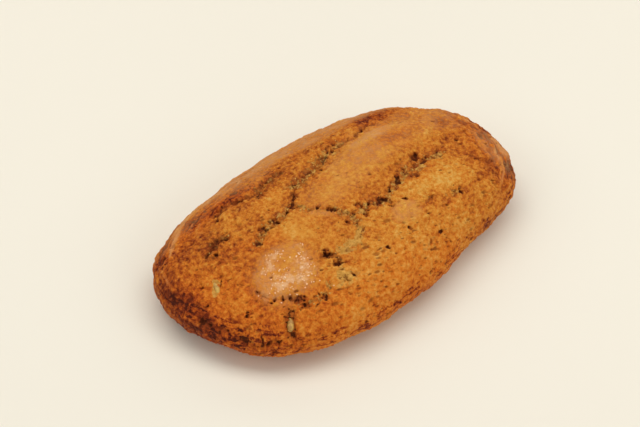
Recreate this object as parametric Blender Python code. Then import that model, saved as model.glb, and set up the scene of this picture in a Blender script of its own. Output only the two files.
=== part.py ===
"""Mandel bread: one oval piece of baked almond dough, flat below, crowned and cracked on top.

The piece lies along X, rests on its flat base at Z = 0 and is made in metres.
"""

import math

import bmesh
import bpy
import numpy as np
from mathutils import Vector, noise

MM = 0.001
NAME = "mandel_bread"

# Outline seen from above. The dough spread a little more at one end than at the other.
HALF_LENGTH = 54.0 * MM
HALF_WIDTH = 30.7 * MM
EGG = -0.02  # how much wider the outline grows towards +X, as a share
BEND = -0.03  # how far the long axis bows sideways, as a share of the half width
SKEW = 0.008
LOBES = ((3, 0.008, 0.023), (4, -0.023, -0.026))  # waves round the outline: count, cosine, sine
# Flats and bulges that hands left in the outline: turn and width in degrees, share taken off.
FLATS = (
    (-61.0, 11.0, 0.045),
    (-33.0, 10.0, -0.022),
    (40.0, 7.0, 0.018),
    (99.0, 4.0, -0.015),
    (122.0, 14.0, 0.024),
)

# Side profile, from the crown over the rounded rim and under it to the flat base.
HEIGHT = 23.2 * MM
RIM_HEIGHT = 8.6 * MM  # where the piece is widest
CROWN_FLATNESS = 2.5  # a larger power keeps the crown level for longer
CROWN_ROUNDNESS = 1.7
BASE_SHARE = 0.85  # footprint of the base over the widest outline
# One long side curls in further under its rim: turn and width in degrees, share added.
UNDERCUT = (-82.0, 52.0, 1.0)
TOP_SHARE = 0.90  # share of the outline that the top grid covers
PROFILE_STEPS = 200

# Grid of the starting block: cells along, across and up.
CELLS = (72, 42, 9)

# Lumps left by rough dough.
LUMP_SIZE = 13.0 * MM
LUMP_HEIGHT = 0.7 * MM
FLAT_BELOW = 0.5 * MM  # nothing moves this low down, so that the base stays flat
FREE_ABOVE = 4.0 * MM

# Smooth plates of crust that rose as the dough tore: centre, radii, turn in degrees, rise.
# Centres are millimetres from the middle of the piece, +X along it and +Y across it.
PLATES = (
    ((-26.0, -11.5), (9.5, 8.0), 10.0, 0.9),  # round blister near the -X end
    ((-13.0, -6.0), (9.5, 8.5), 0.0, 0.6),  # second plate beside it
    ((13.0, 5.5), (27.0, 7.5), 14.0, 0.9),  # long ridge between the two main cracks
    ((10.0, -14.5), (7.0, 5.5), 0.0, 0.4),
    ((-28.0, 7.0), (13.0, 6.0), 12.0, 0.5),
)

# Cracks, each with its depth and half width in millimetres and the points it runs through.
CRACKS = (
    (
        1.7,
        1.5,
        ((22, 17.5), (17, 16), (10, 14.5), (4, 14), (-3, 11), (-9, 9.5), (-12, 5), (-13.5, 4)),
    ),
    (1.2, 1.3, ((-13.5, 4), (-18, 2.5), (-22, 1), (-27.5, -0.5))),
    (
        1.6,
        1.5,
        ((-13.5, 4), (-10.5, 0), (-7, -2), (-4.5, -5.5), (-2.5, -9), (-3.5, -12), (-9, -14.5)),
    ),
    (1.1, 1.3, ((-9, -14.5), (-13, -17), (-11, -21.5))),
    (1.4, 1.4, ((-2.5, -8.5), (4, -8.5), (11, -7.5), (15, -4.5), (19.5, -2.5), (24, -0.5))),
    (1.3, 1.4, ((-8, 15.5), (-14, 14.5), (-19, 13), (-25, 14.5), (-32, 12.5))),
    (1.3, 1.6, ((-32.5, 6), (-36, 6), (-39, 5))),
    (0.9, 1.3, ((-30, -20), (-24, -20.3), (-17, -20.5))),
    (0.9, 1.3, ((22, -14.5), (26, -14), (29, -14))),
    (0.8, 1.3, ((38, -7.5), (41, -8), (44, -9))),
)

# Folds where the skin wrinkled at the +X end.
FOLD_CENTRE = (47.0, -4.0)
FOLD_REACH = 9.0
FOLD_PITCH = 4.0
FOLD_HEIGHT = 0.3

CRUST_COLOUR = (0.50, 0.165, 0.032, 1.0)
CRUST_ROUGHNESS = 0.62


def clear_scene():
    for item in list(bpy.data.objects):
        bpy.data.objects.remove(item, do_unlink=True)


def outline(turn):
    """Points of the widest outline at each turn round the piece."""
    x = HALF_LENGTH * np.cos(turn)
    along = x / HALF_LENGTH
    y = HALF_WIDTH * (np.sin(turn) * (1 + EGG * along) + BEND * (along**2 - 0.4))
    swell = 1 + SKEW * np.sin(2 * turn)
    for count, cosine, sine in LOBES:
        swell = swell + cosine * np.cos(count * turn) + sine * np.sin(count * turn)
    for place, width, depth in FLATS:
        gap = (np.degrees(turn) - place + 180) % 360 - 180
        swell = swell - depth * np.exp(-((gap / width) ** 2))
    return x * swell, y * swell


def crown_height(share):
    """Height of the top at a share of the way from the middle to the rim."""
    fall = np.clip(1 - share**CROWN_FLATNESS, 0, None) ** (1 / CROWN_ROUNDNESS)
    return RIM_HEIGHT + (HEIGHT - RIM_HEIGHT) * fall


def side_profile():
    """Share of the outline and height down the side, with the distance travelled as a share."""
    upper = np.linspace(math.asin(TOP_SHARE), math.pi / 2, PROFILE_STEPS)
    lower = np.linspace(0, math.pi / 2, PROFILE_STEPS)[1:]
    share = np.concatenate([np.sin(upper), BASE_SHARE + (1 - BASE_SHARE) * np.cos(lower)])
    height = np.concatenate([crown_height(np.sin(upper)), RIM_HEIGHT * (1 - np.sin(lower))])
    steps = np.hypot(np.diff(share * HALF_WIDTH), np.diff(height))
    travelled = np.concatenate([[0], np.cumsum(steps)])
    return travelled / travelled[-1], share, height


def block():
    """A cube from -1 to 1, cut into the grid of cells."""
    mesh = bmesh.new()
    bmesh.ops.create_cube(mesh, size=2)
    for axis, cells in enumerate(CELLS):
        across = [e for e in mesh.edges if abs(e.verts[0].co[axis] - e.verts[1].co[axis]) > 1]
        bmesh.ops.subdivide_edges(mesh, edges=across, cuts=cells - 1, use_grid_fill=True)
    return mesh


def loaf_shape(points):
    """Moves the block's points to the smooth loaf: level crown, round rim, flat base."""
    x, y, up = points.T
    across = x * np.sqrt(1 - y**2 / 2)
    deep = y * np.sqrt(1 - x**2 / 2)
    reach = np.hypot(across, deep)
    turn = np.arctan2(deep, across)
    rim_x, rim_y = outline(turn)
    away = (np.degrees(turn) - UNDERCUT[0] + 180) % 360 - 180
    curl = 1 + UNDERCUT[2] * np.exp(-((away / UNDERCUT[1]) ** 4))
    travelled, side_share, side_height = side_profile()
    down = (1 - up) / 2
    height = np.interp(down, travelled, side_height)
    share = np.interp(down, travelled, side_share)
    share = np.where(height < RIM_HEIGHT, 1 - (1 - share) * curl, share)
    on_top = up > 1 - 1e-6
    below = up < -1 + 1e-6
    share = np.where(on_top, reach * TOP_SHARE, share)
    height = np.where(on_top, crown_height(share), height)
    share = np.where(below, reach * (1 - (1 - BASE_SHARE) * curl), share)
    height = np.where(below, 0, height)
    return np.stack([rim_x * share, rim_y * share, height], axis=1)


def distance_to_path(x, y, path):
    """Distance in plan from each point to a line through the path's points."""
    nearest = np.full(x.shape, np.inf)
    for (x0, y0), (x1, y1) in zip(path, path[1:]):
        run_x, run_y = x1 - x0, y1 - y0
        along = ((x - x0) * run_x + (y - y0) * run_y) / (run_x**2 + run_y**2)
        along = np.clip(along, 0, 1)
        nearest = np.minimum(nearest, np.hypot(x - x0 - along * run_x, y - y0 - along * run_y))
    return nearest


def plate_rise(x, y):
    total = np.zeros(x.shape)
    for (centre_x, centre_y), (long_radius, short_radius), turn, rise in PLATES:
        cosine, sine = math.cos(math.radians(turn)), math.sin(math.radians(turn))
        along = (x - centre_x) * cosine + (y - centre_y) * sine
        across = (y - centre_y) * cosine - (x - centre_x) * sine
        reach = np.hypot(along / long_radius, across / short_radius)
        total = np.maximum(total, rise * np.clip(1 - reach**4, 0, None))
    return total


def crack_depth(x, y):
    total = np.zeros(x.shape)
    for depth, half_width, path in CRACKS:
        gap = distance_to_path(x, y, path) / half_width
        total = np.maximum(total, depth * np.exp(-(gap**2)))
    return total


def fold_rise(x, y):
    away = np.hypot(x - FOLD_CENTRE[0], y - FOLD_CENTRE[1])
    fade = np.exp(-((away / FOLD_REACH) ** 2))
    return FOLD_HEIGHT * fade * np.sin(2 * math.pi * away / FOLD_PITCH)


def lump_rise(points):
    waves = [noise.noise(Vector(point) / LUMP_SIZE) for point in points]
    return LUMP_HEIGHT * np.array(waves)


def centred(points):
    """The points moved so that the middle of their base lies at the origin."""
    low, high = points.min(axis=0), points.max(axis=0)
    middle = (low + high) / 2
    return points - np.array([middle[0], middle[1], low[2]])


def set_points(mesh, points):
    for vertex, point in zip(mesh.verts, points):
        vertex.co = point
    mesh.normal_update()


def make_loaf():
    mesh = block()
    points = np.array([vertex.co for vertex in mesh.verts])
    points = centred(loaf_shape(points))
    set_points(mesh, points)
    normals = np.array([vertex.normal for vertex in mesh.verts])
    x, y = points[:, 0] / MM, points[:, 1] / MM
    free = np.clip((points[:, 2] - FLAT_BELOW) / (FREE_ABOVE - FLAT_BELOW), 0, 1)
    facing_up = np.clip(normals[:, 2] * 3, 0, 1)
    relief = (plate_rise(x, y) - crack_depth(x, y) + fold_rise(x, y)) * MM * facing_up
    points = points + normals * ((relief + lump_rise(points)) * free)[:, None]
    set_points(mesh, centred(points))
    bmesh.ops.recalc_face_normals(mesh, faces=mesh.faces)
    data = bpy.data.meshes.new(NAME)
    mesh.to_mesh(data)
    mesh.free()
    return data


def crust_material():
    material = bpy.data.materials.new("crust")
    material.use_nodes = True
    shader = material.node_tree.nodes["Principled BSDF"]
    shader.inputs["Base Color"].default_value = CRUST_COLOUR
    shader.inputs["Roughness"].default_value = CRUST_ROUGHNESS
    return material


clear_scene()
collection = bpy.data.collections.new("mandel bread")
bpy.context.scene.collection.children.link(collection)
loaf = bpy.data.objects.new(NAME, make_loaf())
loaf.data.materials.append(crust_material())
loaf.data.shade_smooth()
collection.objects.link(loaf)
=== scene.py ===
# %% [markdown]
# # Mandel bread
#
# Mandel bread is a dry almond biscuit. A soft, sticky dough is shaped by hand into a small oval
# loaf and baked until the skin sets. The inside keeps rising after that, so the skin tears into
# smooth plates with rough cracks between them, and the ends, which stick out furthest, brown first.
#
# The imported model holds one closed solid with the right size. This lesson replaces its plain
# surface with a crust that has grain, pores, torn cracks and uneven browning. Everything is worked
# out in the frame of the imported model, so the crust lands where the solid is.

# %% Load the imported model
import math

import bmesh
import bpy
import numpy as np
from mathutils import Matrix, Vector, noise
from mathutils.bvhtree import BVHTree


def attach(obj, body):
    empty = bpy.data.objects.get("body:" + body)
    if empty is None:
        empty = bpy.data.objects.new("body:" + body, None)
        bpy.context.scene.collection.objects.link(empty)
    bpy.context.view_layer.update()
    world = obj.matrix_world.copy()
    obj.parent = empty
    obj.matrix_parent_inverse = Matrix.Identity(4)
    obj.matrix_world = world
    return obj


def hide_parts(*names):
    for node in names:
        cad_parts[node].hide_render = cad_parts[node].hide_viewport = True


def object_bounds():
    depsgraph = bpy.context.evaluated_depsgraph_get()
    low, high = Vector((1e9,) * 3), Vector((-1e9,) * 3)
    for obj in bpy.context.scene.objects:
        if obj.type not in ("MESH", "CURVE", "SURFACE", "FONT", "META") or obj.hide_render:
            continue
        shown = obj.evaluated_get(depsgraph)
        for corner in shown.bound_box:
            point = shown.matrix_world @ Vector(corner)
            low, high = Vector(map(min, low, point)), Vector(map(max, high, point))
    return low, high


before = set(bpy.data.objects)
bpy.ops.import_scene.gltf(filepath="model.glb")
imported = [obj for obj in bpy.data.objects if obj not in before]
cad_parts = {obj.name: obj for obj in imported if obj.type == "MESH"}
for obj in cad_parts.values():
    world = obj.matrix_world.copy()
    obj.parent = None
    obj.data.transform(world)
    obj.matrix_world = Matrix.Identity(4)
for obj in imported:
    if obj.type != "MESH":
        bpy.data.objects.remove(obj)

cad_low, cad_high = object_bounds()
NODE = "mandel_bread"
MM = 0.001
print("packed model:", [round(side / MM, 1) for side in cad_high - cad_low], "mm")

# %% [markdown]
# ## Maths on sockets
#
# Both kinds of node tree used here, Geometry Nodes and shaders, share the Math, Noise and Voronoi
# nodes. Adding those one by one hides the formula they make. So a small class wraps a socket and
# overloads the arithmetic signs: `1 - pore * 0.5` then adds its Math nodes by itself. Every other
# node comes from one method, `Graph.node`, which sets the node's own settings before its sockets.


# %% Sockets that can stand in a formula
def sign(operation, swapped=False):
    """The method behind one arithmetic sign."""

    def apply(self, other):
        terms = (other, self) if swapped else (self, other)
        return self.graph.maths(operation, *terms)

    return apply


class Socket:
    """An output socket that adds a Math node for each arithmetic sign."""

    def __init__(self, graph, socket):
        self.graph = graph
        self.socket = socket

    __add__ = sign("ADD")
    __radd__ = sign("ADD", swapped=True)
    __sub__ = sign("SUBTRACT")
    __rsub__ = sign("SUBTRACT", swapped=True)
    __mul__ = sign("MULTIPLY")
    __rmul__ = sign("MULTIPLY", swapped=True)
    __truediv__ = sign("DIVIDE")
    __rtruediv__ = sign("DIVIDE", swapped=True)
    __lt__ = sign("LESS_THAN")


class Graph:
    """A node tree, with one method that adds any node."""

    def __init__(self, tree):
        self.tree = tree

    def node(self, kind, settings=None, values=None, out=0):
        made = self.tree.nodes.new(kind)
        for name, value in (settings or {}).items():
            if name == "stops":
                self.set_stops(made.color_ramp, value)
            else:
                setattr(made, name, value)
        for name, value in (values or {}).items():
            self.plug(value, made.inputs[name])
        return Socket(self, made.outputs[out])

    def plug(self, value, socket):
        if isinstance(value, Socket):
            self.tree.links.new(value.socket, socket)
        else:
            socket.default_value = value

    @staticmethod
    def set_stops(ramp, stops):
        while len(ramp.elements) < len(stops):
            ramp.elements.new(1.0)
        for element, (place, colour) in zip(ramp.elements, stops):
            element.position = place
            element.color = colour

    def stored(self, name, vector=False):
        """A value kept on the mesh's points, for either kind of tree."""
        if self.tree.bl_idname == "ShaderNodeTree":
            out = "Vector" if vector else "Fac"
            return self.node("ShaderNodeAttribute", {"attribute_name": name}, out=out)
        settings = {"data_type": "FLOAT_VECTOR" if vector else "FLOAT"}
        return self.node("GeometryNodeInputNamedAttribute", settings, {"Name": name})

    def maths(self, operation, *terms, clamp=False):
        settings = {"operation": operation, "use_clamp": clamp}
        return self.node("ShaderNodeMath", settings, dict(enumerate(terms)))

    def most(self, first, *others):
        """The largest of some values."""
        for other in others:
            first = self.maths("MAXIMUM", first, other)
        return first

    def ease(self, value, low, high):
        """0 below low, 1 above high, with a soft S between them."""
        settings = {"interpolation_type": "SMOOTHSTEP"}
        values = {"Value": value, "From Min": low, "From Max": high}
        return self.node("ShaderNodeMapRange", settings, values)

    def noise(self, place, size, detail, roughness):
        """Noise from about -0.5 to 0.5, with waves of the given size in metres."""
        values = {"Vector": place, "Scale": 1 / size, "Detail": detail, "Roughness": roughness}
        return self.node("ShaderNodeTexNoise", None, values) - 0.5

    def stretch(self, place, scale):
        """A place with each axis scaled. Patterns read there are squeezed by as much."""
        settings = {"operation": "MULTIPLY"}
        return self.node("ShaderNodeVectorMath", settings, {0: place, 1: scale})

    def turned(self, place, degrees):
        settings = {"rotation_type": "Z_AXIS"}
        values = {"Vector": place, "Angle": math.radians(degrees)}
        return self.node("ShaderNodeVectorRotate", settings, values)

    def cells(self, place, size, out="Distance"):
        """Distance to scattered points, as a share of their spacing, or a random colour a cell."""
        values = {"Vector": place, "Scale": 1 / size, "Randomness": 1.0}
        return self.node("ShaderNodeTexVoronoi", {"feature": "F1"}, values, out=out)

    def blend(self, share, first, second, how="MIX"):
        settings = {"data_type": "RGBA", "clamp_factor": True, "blend_type": how}
        return self.node("ShaderNodeMix", settings, {0: share, 6: first, 7: second}, out=2)


print("socket maths ready")

# %% [markdown]
# ## Colours
#
# Baked crust is easiest to judge as screen colours, which a renderer first has to turn into the
# linear values that light adds up in.


# %% Screen colour to linear colour
def screen(red, green, blue):
    """A linear RGBA colour from 0 to 255 screen values."""
    linear = []
    for part in (red, green, blue):
        share = part / 255
        linear.append(share / 12.92 if share <= 0.04045 else ((share + 0.055) / 1.055) ** 2.4)
    return (*linear, 1.0)


print("mid crust:", [round(part, 3) for part in screen(190, 118, 46)])

# %% [markdown]
# ## The loaf's smooth form
#
# The piece is a low oval dome with a rounded rim that turns under to a flat base. Sculpting it by
# hand would be hard to repeat, so it is a rule: an outline seen from above, and a side profile that
# shrinks that outline with height. One long side is tucked in further below the rim than the rest.
# Geometry Nodes' Mesh Cube gives a closed box with any number of cells along each side. Its top is
# bent into the crown, its walls into the rim, and its bottom into the base, so there is no pole
# where thin triangles meet.

# %% Driving sizes, in millimetres
HALF_LENGTH = 54.0
HALF_WIDTH = 30.7
EGG = -0.02  # how much wider the outline grows towards +X, as a share
BEND = -0.03  # how far the long axis bows sideways, as a share of the half width
SKEW = 0.008  # share by which two opposite corners are fuller than the other two
LOBES = ((3, 0.008, 0.023), (4, -0.023, -0.026))  # waves round the outline: count, cosine, sine
# Flats and bulges that hands left in the outline: turn and width in degrees, share taken off.
FLATS = (
    (-61.0, 11.0, 0.045),
    (-33.0, 10.0, -0.022),
    (40.0, 7.0, 0.018),
    (99.0, 4.0, -0.015),
    (122.0, 14.0, 0.024),
)
HEIGHT = 23.2
RIM_HEIGHT = 8.6  # where the piece is widest
CROWN_FLATNESS = 2.5  # a larger power keeps the crown level for longer
CROWN_ROUNDNESS = 1.7
BASE_SHARE = 0.85  # footprint of the base over the widest outline
# One long side curls in further under its rim: turn and width in degrees, share added.
UNDERCUT = (-82.0, 52.0, 1.0)
TOP_SHARE = 0.90  # share of the outline that the top grid covers
TOP_UNROLLED = 0.61  # share of the way from the crown to the base that the top grid covers
PROFILE_STEPS = 400
LUMP_SIZE = 13.0  # lumps left by rough dough
LUMP_HEIGHT = 0.7
CELLS = (320, 180, 34)  # along, across and up
HAIR = 1e-5  # how near the box's top and bottom a point counts as on them
LEAST_FACING_UP = 0.25  # the crown's relief fades out where the skin is steeper than this


# %% A box of cells from Geometry Nodes
def start_tree(name, kinds):
    """The graph of a new Geometry Nodes tree, and its inputs: a mesh and one for each name."""
    tree = bpy.data.node_groups.new(name, "GeometryNodeTree")
    for key, kind in {"Mesh": "NodeSocketGeometry", **kinds}.items():
        tree.interface.new_socket(name=key, in_out="INPUT", socket_type=kind)
    tree.interface.new_socket(name="Mesh", in_out="OUTPUT", socket_type="NodeSocketGeometry")
    graph = Graph(tree)
    group = tree.nodes.new("NodeGroupInput")
    return graph, {key: Socket(graph, group.outputs[key]) for key in ("Mesh", *kinds)}


def end_tree(graph, mesh, material=None):
    """Every tree ends the same way: real meshes, with their material set."""
    mesh = graph.node("GeometryNodeRealizeInstances", None, {0: mesh})
    mesh = graph.node("GeometryNodeSetMaterial", None, {"Geometry": mesh, "Material": material})
    output = graph.tree.nodes.new("NodeGroupOutput")
    graph.plug(mesh, output.inputs["Mesh"])
    return graph.tree


def linked(name, data):
    """A new object, linked to the scene."""
    thing = bpy.data.objects.new(name, data)
    bpy.context.scene.collection.objects.link(thing)
    return thing


def taken_mesh(helper):
    """The helper's mesh with its modifier worked in, as plain data. The helper is removed."""
    worked_in = bpy.context.evaluated_depsgraph_get()
    made = bpy.data.meshes.new_from_object(helper.evaluated_get(worked_in), depsgraph=worked_in)
    made.name = helper.name
    helper.modifiers.clear()
    bpy.data.objects.remove(helper)
    return made


def run_tree(name, source, tree, values):
    """The mesh that a tree makes from a source mesh, with these values at its inputs."""
    helper = linked(name, source)
    modifier = helper.modifiers.new(name, "NODES")
    modifier.node_group = tree
    for item in tree.interface.items_tree:
        if item.in_out == "INPUT" and item.name in values:
            modifier[item.identifier] = values[item.name]
    return taken_mesh(helper)


def cell_box(cells):
    names = ("Cells along", "Cells across", "Cells up")
    graph, inputs = start_tree("cell box", dict.fromkeys(names, "NodeSocketInt"))
    values = {"Size": (2, 2, 2)}
    for axis, name in zip("XYZ", names):
        values[f"Vertices {axis}"] = inputs[name] + 1
    tree = end_tree(graph, graph.node("GeometryNodeMeshCube", None, values))
    return run_tree("cell box", bpy.data.meshes.new("start"), tree, dict(zip(names, cells)))


def read(items, key, width=1, kind=np.float32):
    """One number, or one row of numbers, from each item of a mesh."""
    flat = np.empty(len(items) * width, kind)
    items.foreach_get(key, flat)
    return flat if width == 1 else flat.reshape(-1, width).astype(np.float64)


def set_points(mesh, points):
    mesh.vertices.foreach_set("co", points.astype(np.float32).ravel())
    mesh.update()


crust_mesh = cell_box(CELLS)
box_points = read(crust_mesh.vertices, "co", 3)
print("box of cells:", len(crust_mesh.vertices), "points,", len(crust_mesh.polygons), "faces")


# %% Bend the box into the loaf
def turned_from(turn, degrees):
    """Angle in degrees from a bearing to each turn, the short way round."""
    return (np.degrees(turn) - degrees + 180) % 360 - 180


def outline(turn):
    """Points of the widest outline at each turn round the piece."""
    x = HALF_LENGTH * np.cos(turn)
    along = x / HALF_LENGTH
    y = HALF_WIDTH * (np.sin(turn) * (1 + EGG * along) + BEND * (along**2 - 0.4))
    swell = 1 + SKEW * np.sin(2 * turn)
    for count, cosine, sine in LOBES:
        swell = swell + cosine * np.cos(count * turn) + sine * np.sin(count * turn)
    for bearing, width, depth in FLATS:
        swell = swell - depth * np.exp(-((turned_from(turn, bearing) / width) ** 2))
    return x * swell, y * swell


def crown_height(share):
    """Height of the top at a share of the way from the middle to the rim."""
    fall = np.clip(1 - share**CROWN_FLATNESS, 0, None) ** (1 / CROWN_ROUNDNESS)
    return RIM_HEIGHT + (HEIGHT - RIM_HEIGHT) * fall


def side_profile():
    """Way travelled down the side, as a share, with the outline's share and the height there."""
    upper = np.linspace(math.asin(TOP_SHARE), math.pi / 2, PROFILE_STEPS)
    lower = np.linspace(0, math.pi / 2, PROFILE_STEPS)[1:]
    share = np.concatenate([np.sin(upper), BASE_SHARE + (1 - BASE_SHARE) * np.cos(lower)])
    height = np.concatenate([crown_height(np.sin(upper)), RIM_HEIGHT * (1 - np.sin(lower))])
    steps = np.hypot(np.diff(share * HALF_WIDTH), np.diff(height))
    travelled = np.concatenate([[0], np.cumsum(steps)])
    return travelled / travelled[-1], share, height


def loaf_shape(points):
    """The loaf's points, their places on the unrolled crust and their shares of the outline.

    A place is a row of x, y and 1 on the base, 0 elsewhere.
    """
    x, y, up = points.T
    across = x * np.sqrt(1 - y**2 / 2)
    deep = y * np.sqrt(1 - x**2 / 2)
    reach = np.hypot(across, deep)
    turn = np.arctan2(deep, across)
    rim_x, rim_y = outline(turn)
    bearing, width, added = UNDERCUT
    curl = 1 + added * np.exp(-((turned_from(turn, bearing) / width) ** 4))
    travelled, side_share, side_height = side_profile()
    down = (1 - up) / 2
    on_top = up > 1 - HAIR
    on_base = up < -1 + HAIR
    height = np.interp(down, travelled, side_height)
    share = np.interp(down, travelled, side_share)
    share = np.where(height < RIM_HEIGHT, 1 - (1 - share) * curl, share)
    base_share = 1 - (1 - BASE_SHARE) * curl
    share = np.where(on_top, reach * TOP_SHARE, np.where(on_base, reach * base_share, share))
    height = np.where(on_top, crown_height(share), np.where(on_base, 0, height))
    unrolled = TOP_UNROLLED + (1 - TOP_UNROLLED) * down
    unrolled = np.where(on_top, reach * TOP_UNROLLED, np.where(on_base, reach, unrolled))
    place = np.stack([np.cos(turn) * unrolled, np.sin(turn) * unrolled, on_base * 1.0], axis=1)
    return np.stack([rim_x * share, rim_y * share, height], axis=1), place, share


def base_middle(low, high):
    """The middle of a box's bottom face."""
    return np.array([(low[0] + high[0]) / 2, (low[1] + high[1]) / 2, low[2]])


smooth_points, unrolled_place, rim_share = loaf_shape(box_points)
smooth_points -= base_middle(smooth_points.min(axis=0), smooth_points.max(axis=0))
set_points(crust_mesh, smooth_points)
smooth_normals = read(crust_mesh.vertex_normals, "vector", 3)
plan_x, plan_y, height = smooth_points.T
on_crown = np.clip(smooth_normals[:, 2] / LEAST_FACING_UP, 0, 1)
print("smooth loaf:", np.ptp(smooth_points, axis=0).round(1), "mm")

# %% [markdown]
# ## Plates, folds and lumps
#
# The skin set before the dough had stopped rising, so it broke into plates that rode up on the
# crumb below: a long ridge, a round blister with a neighbour, and a few low swellings. One end
# wrinkled instead of tearing. Each is a low bump laid over the smooth form. They are measured in
# plan from the middle of the piece.

# %% Where the plates and folds are, in millimetres
# Centre, radii, turn in degrees, rise.
PLATES = (
    ((-26.0, -11.5), (9.5, 8.0), 10.0, 0.9),
    ((-13.0, -6.0), (9.5, 8.5), 0.0, 0.6),
    ((13.0, 5.5), (27.0, 7.5), 14.0, 0.9),
    ((10.0, -14.5), (7.0, 5.5), 0.0, 0.4),
    ((-28.0, 7.0), (13.0, 6.0), 12.0, 0.5),
)
FOLD_CENTRE = (47.0, -4.0)
FOLD_REACH = 9.0
FOLD_PITCH = 4.0
FOLD_HEIGHT = 0.3


def patch_reach(x, y, patch_centre, radii, turn):
    """How far each point is from a patch's middle, where 1 is its edge."""
    cosine, sine = math.cos(math.radians(turn)), math.sin(math.radians(turn))
    along = (x - patch_centre[0]) * cosine + (y - patch_centre[1]) * sine
    across = (y - patch_centre[1]) * cosine - (x - patch_centre[0]) * sine
    return np.hypot(along / radii[0], across / radii[1])


def plate_rise(x, y):
    """Plates rise quickly at their edges and are level across the middle."""
    total = np.zeros(x.shape)
    for patch_centre, radii, turn, rise in PLATES:
        reach = patch_reach(x, y, patch_centre, radii, turn)
        total = np.maximum(total, rise * np.clip(1 - reach**4, 0, None))
    return total


def fold_rise(x, y):
    """Rings of folds that fade out away from their centre."""
    away = np.hypot(x - FOLD_CENTRE[0], y - FOLD_CENTRE[1])
    fade = np.exp(-((away / FOLD_REACH) ** 2))
    return FOLD_HEIGHT * fade * np.sin(2 * math.pi * away / FOLD_PITCH)


def waves(points, size, seed=0.0):
    """Smooth noise from about -1 to 1, with waves of the given size."""
    shift = Vector((seed, -seed, 2 * seed))
    return np.array([noise.noise(Vector(point) / size + shift) for point in points])


lumps = LUMP_HEIGHT * waves(smooth_points, LUMP_SIZE)
print("lumps from", lumps.min().round(2), "to", lumps.max().round(2), "mm")

# %% [markdown]
# ## Cracks
#
# A crack in a baked skin isn't an even groove. Its lips are ragged, its width comes and goes, and
# its floor is torn crumb with holes in it. So each crack is a line through a few points, the
# distance to it is bent by noise, and its width swells and closes along the way. The distances are
# kept on the points as attributes, because the crust's material needs them too: the floor of a
# crack never browned as the skin did.

# %% The cracks, in millimetres
# Furrow depth, half width, how torn and how pale the floor is, and the points.
CRACKS = (
    (0.5, 0.8, 0.9, 0.0, ((22, 17.4), (19, 16.8), (16, 15.6), (12, 14.9), (8, 15.4))),
    (0.6, 2.2, 0.95, 0.45, ((9, 15), (4, 14.2), (1, 12.8), (-3, 11), (-6, 9.8), (-9.5, 9.8))),
    (0.5, 0.9, 1.0, 0.0, ((-9.8, 8.5), (-10.8, 6.4), (-12.3, 5.2), (-13.3, 4))),
    (0.4, 1.6, 0.9, 0.45, ((-13.3, 4), (-17, 2.7), (-20, 2.4), (-22.5, 1.6), (-24.2, 0.5), (-27.3, -0.4))),
    (0.3, 1.0, 0.85, 0.5, ((-13, 4), (-11.2, 0.9), (-9.6, -0.8), (-7, -2.1), (-5.4, -3.3), (-4.2, -5.5))),
    (0.4, 1.3, 1.0, 0.6, ((-4.2, -5.5), (-1.8, -8))),
    (0.5, 1.7, 0.9, 0.6, ((-1.6, -8.2), (-2, -10.2), (-3.2, -12))),
    (0.5, 1.7, 0.4, 1.0, ((-2.6, -11.2), (-4, -13), (-6.5, -14.4), (-10, -14.6))),
    (0.5, 1.3, 1.0, 0.2, ((-15, -13.4), (-12.2, -14.7), (-12.6, -17.3))),
    (0.2, 2.2, 0.25, 1.0, ((-13.4, -19.2), (-14.3, -20.4), (-12.5, -21.8))),
    (0.5, 1.8, 0.75, 0.45, ((-1.5, -8.2), (3.6, -7.2), (6.4, -7.9), (9.2, -8.4), (11.5, -6.2))),
    (0.5, 1.5, 0.85, 0.55, ((11.5, -6.2), (14.6, -4.8), (17.8, -4.2), (18.6, -2.2))),
    (0.5, 1.2, 1.0, 0.0, ((22.8, -0.4), (24.6, 0.0))),
    (0.3, 1.7, 0.8, 0.45, ((19, -3.4), (23, -4), (26.7, -1.8), (29, -2.6), (32.6, -1.8))),
    (0.4, 1.5, 1.0, 0.25, ((-9, 16.3), (-13, 15.7), (-16.5, 14.2), (-18.4, 12.6))),
    (0.4, 1.0, 0.9, 0.0, ((-18.4, 12.6), (-22, 14.1), (-27, 15.2), (-29.8, 13.8), (-31.6, 12.8))),
    (0.5, 1.6, 1.0, 0.25, ((-32.6, 5.2), (-34.2, 6.6), (-36.6, 6.2), (-39, 4.6))),
    (0.0, 0.7, 0.0, 1.0, ((-41.1, -1.4), (-41.9, -4.8))),
    (0.45, 0.55, 0.6, 0.0, ((-34.3, -11.4), (-33.9, -13.5), (-32.5, -15.5), (-30.2, -17.3), (-26.5, -19.4))),
    (0.4, 0.9, 0.75, 0.45, ((-27, -20), (-23, -21.8), (-19, -21.6), (-17.6, -20))),
    (0.3, 1.1, 0.7, 0.4, ((23.4, -14.9), (26.2, -14.4), (29.4, -14.3))),
    (0.2, 0.8, 0.5, 0.2, ((15.5, -13.8), (18.3, -13.6), (20.6, -13.2))),
    (0.3, 0.5, 0.45, 0.0, ((38.6, -7.2), (41, -8.9), (45.3, -9.8))),
)
# Amount, size and seeds of the noise that bends the lines. The other wanders are of this form.
CRACK_WANDERS = ((1.0, 2.6, (3.1, 5.3)), (0.5, 1.1, (9.7, 1.9)))
CRACK_SWELL = (0.9, 0.7, 0.3)  # mean, swing and least of the width along the way
CRACK_SWELL_SIZE = 3.5
CRACK_SWELL_SEED = 7.7


def wandered(x, y, points, *wanders):
    """Places in plan, shifted by noise so that what is drawn there turns ragged."""
    for amount, size, (seed_x, seed_y) in wanders:
        x = x + amount * waves(points, size, seed_x)
        y = y + amount * waves(points, size, seed_y)
    return x, y


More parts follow.
